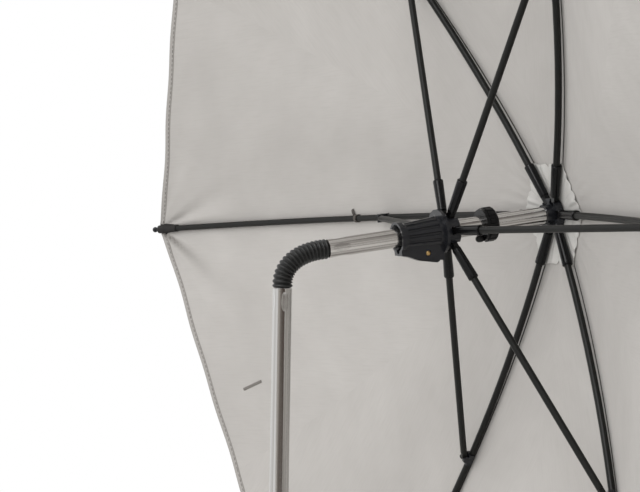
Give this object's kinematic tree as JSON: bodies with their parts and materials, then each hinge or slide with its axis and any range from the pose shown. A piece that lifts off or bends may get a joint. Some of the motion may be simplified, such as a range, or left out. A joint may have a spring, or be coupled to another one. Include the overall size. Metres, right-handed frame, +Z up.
{
  "type": "pram parasol",
  "caption": "Folding pram parasol: chromed stem with a ribbed gooseneck, latched runner, stretchers, ribs and a plain grey fabric canopy.",
  "frame": {"origin": "centre of the stem's foot, where it goes into a clamp", "axes": "+Z up the lower stem, +X the way the gooseneck bends, so the shaft and the crown point to +X"},
  "size_m": [0.1846, 0.7476, 0.7645],
  "materials": {
    "chromed_steel": "polished",
    "core_steel": "plain",
    "pin_steel": "plain",
    "black_screw": "blackened",
    "latch_brass": "dull",
    "black_plastic": "moulded",
    "sleeve_vinyl": "satin",
    "rod_fibre": "coated glass fibre",
    "canopy_fabric": "plain woven",
    "rosette_fabric": "pinked edge"
  },
  "bodies": {
    "lower_stem": {"lower_tube": "chromed_steel", "foot_plug": "black_plastic", "neck_stub_lower": "core_steel"},
    "neck_link_1": {"neck_core_1": "core_steel", "neck_sleeve": "sleeve_vinyl"},
    "neck_link_2": {"neck_core_2": "core_steel"},
    "shaft": {"upper_tube": "chromed_steel", "neck_stub_upper": "core_steel", "stop_collar": "black_plastic", "collar_screw": "black_screw", "crown": "black_plastic", "crown_pins": "pin_steel", "crown_cap": "black_plastic", "canopy_rosette": "rosette_fabric"},
    "rib_1": {"rib_1": "rod_fibre", "rib_socket_1": "black_plastic", "rib_tip_1": "black_plastic", "rib_joint_1": "black_plastic", "canopy_panel_1": "canopy_fabric"},
    "rib_2": {"rib_2": "rod_fibre", "rib_socket_2": "black_plastic", "rib_tip_2": "black_plastic", "rib_joint_2": "black_plastic", "canopy_panel_2": "canopy_fabric"},
    "rib_3": {"rib_3": "rod_fibre", "rib_socket_3": "black_plastic", "rib_tip_3": "black_plastic", "rib_joint_3": "black_plastic", "canopy_panel_3": "canopy_fabric"},
    "rib_4": {"rib_4": "rod_fibre", "rib_socket_4": "black_plastic", "rib_tip_4": "black_plastic", "rib_joint_4": "black_plastic", "canopy_panel_4": "canopy_fabric"},
    "rib_5": {"rib_5": "rod_fibre", "rib_socket_5": "black_plastic", "rib_tip_5": "black_plastic", "rib_joint_5": "black_plastic", "canopy_panel_5": "canopy_fabric"},
    "rib_6": {"rib_6": "rod_fibre", "rib_socket_6": "black_plastic", "rib_tip_6": "black_plastic", "rib_joint_6": "black_plastic", "canopy_panel_6": "canopy_fabric"},
    "stretcher_1": {"stretcher_1": "rod_fibre", "stretcher_socket_1": "black_plastic"},
    "stretcher_2": {"stretcher_2": "rod_fibre", "stretcher_socket_2": "black_plastic"},
    "stretcher_3": {"stretcher_3": "rod_fibre", "stretcher_socket_3": "black_plastic"},
    "stretcher_4": {"stretcher_4": "rod_fibre", "stretcher_socket_4": "black_plastic"},
    "stretcher_5": {"stretcher_5": "rod_fibre", "stretcher_socket_5": "black_plastic"},
    "stretcher_6": {"stretcher_6": "rod_fibre", "stretcher_socket_6": "black_plastic"},
    "runner": {"runner_body": "black_plastic", "runner_pins": "pin_steel", "latch_pin": "latch_brass"},
    "latch": {"latch_lever": "black_plastic"}
  },
  "joints": [
    {"name": "neck_bend_1", "type": "hinge", "parent": "lower_stem", "child": "neck_link_1", "pos_m": [0, 0, 0.42651], "axis": [0, -1, 0], "range_deg": [-2.5, 32], "deforming": ["neck_sleeve", "neck_core_1", "neck_core_2", "neck_stub_lower", "neck_stub_upper"]},
    {"name": "neck_bend_2", "type": "hinge", "parent": "neck_link_1", "child": "neck_link_2", "pos_m": [0.00435, 0, 0.43348], "axis": [0, -1, 0], "range_deg": [-2.11, 27], "deforming": ["neck_sleeve", "neck_core_1", "neck_core_2", "neck_stub_lower", "neck_stub_upper"]},
    {"name": "neck_bend_3", "type": "hinge", "parent": "neck_link_2", "child": "shaft", "pos_m": [0.01341, 0, 0.43892], "axis": [0, -1, 0], "range_deg": [-1.76, 22.5], "deforming": ["neck_sleeve", "neck_core_1", "neck_core_2", "neck_stub_lower", "neck_stub_upper"]},
    {"name": "rib_fold_1", "type": "hinge", "parent": "shaft", "child": "rib_1", "pos_m": [0.15767, 0.0078, 0.46048], "axis": [-0.1478, 0, 0.989], "range_deg": [0, 72], "deforming": ["canopy_panel_1", "canopy_rosette"]},
    {"name": "rib_fold_2", "type": "hinge", "parent": "shaft", "child": "rib_2", "pos_m": [0.15668, 0.0039, 0.46717], "axis": [-0.0739, -0.866, 0.4945], "range_deg": [0, 72], "deforming": ["canopy_panel_2"]},
    {"name": "rib_fold_3", "type": "hinge", "parent": "shaft", "child": "rib_3", "pos_m": [0.15668, -0.0039, 0.46717], "axis": [0.0739, -0.866, -0.4945], "range_deg": [0, 72], "deforming": ["canopy_panel_3"]},
    {"name": "rib_fold_4", "type": "hinge", "parent": "shaft", "child": "rib_4", "pos_m": [0.15767, -0.0078, 0.46048], "axis": [0.1478, 0, -0.989], "range_deg": [0, 72], "deforming": ["canopy_panel_4"]},
    {"name": "rib_fold_5", "type": "hinge", "parent": "shaft", "child": "rib_5", "pos_m": [0.15867, -0.0039, 0.4538], "axis": [0.0739, 0.866, -0.4945], "range_deg": [0, 72], "deforming": ["canopy_panel_5"]},
    {"name": "rib_fold_6", "type": "hinge", "parent": "shaft", "child": "rib_6", "pos_m": [0.15867, 0.0039, 0.4538], "axis": [-0.0739, 0.866, 0.4945], "range_deg": [0, 72], "deforming": ["canopy_panel_6"]},
    {"name": "stretcher_fold_1", "type": "hinge", "parent": "rib_1", "child": "stretcher_1", "pos_m": [0.12607, 0.16207, 0.45576], "axis": [-0.1478, 0, 0.989], "range_deg": [-144, 0]},
    {"name": "stretcher_fold_2", "type": "hinge", "parent": "rib_2", "child": "stretcher_2", "pos_m": [0.10532, 0.08103, 0.59457], "axis": [-0.0739, -0.866, 0.4945], "range_deg": [-144, 0]},
    {"name": "stretcher_fold_3", "type": "hinge", "parent": "rib_3", "child": "stretcher_3", "pos_m": [0.10532, -0.08103, 0.59457], "axis": [0.0739, -0.866, -0.4945], "range_deg": [-144, 0]},
    {"name": "stretcher_fold_4", "type": "hinge", "parent": "rib_4", "child": "stretcher_4", "pos_m": [0.12607, -0.16207, 0.45576], "axis": [0.1478, 0, -0.989], "range_deg": [-144, 0]},
    {"name": "stretcher_fold_5", "type": "hinge", "parent": "rib_5", "child": "stretcher_5", "pos_m": [0.14681, -0.08103, 0.31695], "axis": [0.0739, 0.866, -0.4945], "range_deg": [-144, 0]},
    {"name": "stretcher_fold_6", "type": "hinge", "parent": "rib_6", "child": "stretcher_6", "pos_m": [0.14681, 0.08103, 0.31695], "axis": [-0.0739, 0.866, 0.4945], "range_deg": [-144, 0]},
    {"name": "runner_hinge", "type": "hinge", "parent": "stretcher_1", "child": "runner", "pos_m": [0.09446, 0.0078, 0.45104], "axis": [-0.1478, 0, 0.989], "range_deg": [0, 72]},
    {"name": "latch_press", "type": "hinge", "parent": "runner", "child": "latch", "pos_m": [0.08102, 0, 0.43882], "axis": [0, -1, 0], "range_deg": [0, 8], "stiffness_Nm_per_rad": 0.1, "springref_deg": -2.86}
  ],
  "couplings": [
    {"joint": "neck_bend_2", "follows": "neck_bend_1", "ratio": 0.84375},
    {"joint": "neck_bend_3", "follows": "neck_bend_1", "ratio": 0.70312},
    {"joint": "rib_fold_2", "follows": "rib_fold_1", "ratio": 1},
    {"joint": "rib_fold_3", "follows": "rib_fold_1", "ratio": 1},
    {"joint": "rib_fold_4", "follows": "rib_fold_1", "ratio": 1},
    {"joint": "rib_fold_5", "follows": "rib_fold_1", "ratio": 1},
    {"joint": "rib_fold_6", "follows": "rib_fold_1", "ratio": 1},
    {"joint": "stretcher_fold_1", "follows": "rib_fold_1", "ratio": -2},
    {"joint": "stretcher_fold_2", "follows": "rib_fold_1", "ratio": -2},
    {"joint": "stretcher_fold_3", "follows": "rib_fold_1", "ratio": -2},
    {"joint": "stretcher_fold_4", "follows": "rib_fold_1", "ratio": -2},
    {"joint": "stretcher_fold_5", "follows": "rib_fold_1", "ratio": -2},
    {"joint": "stretcher_fold_6", "follows": "rib_fold_1", "ratio": -2},
    {"joint": "runner_hinge", "follows": "rib_fold_1", "ratio": 1}
  ]
}
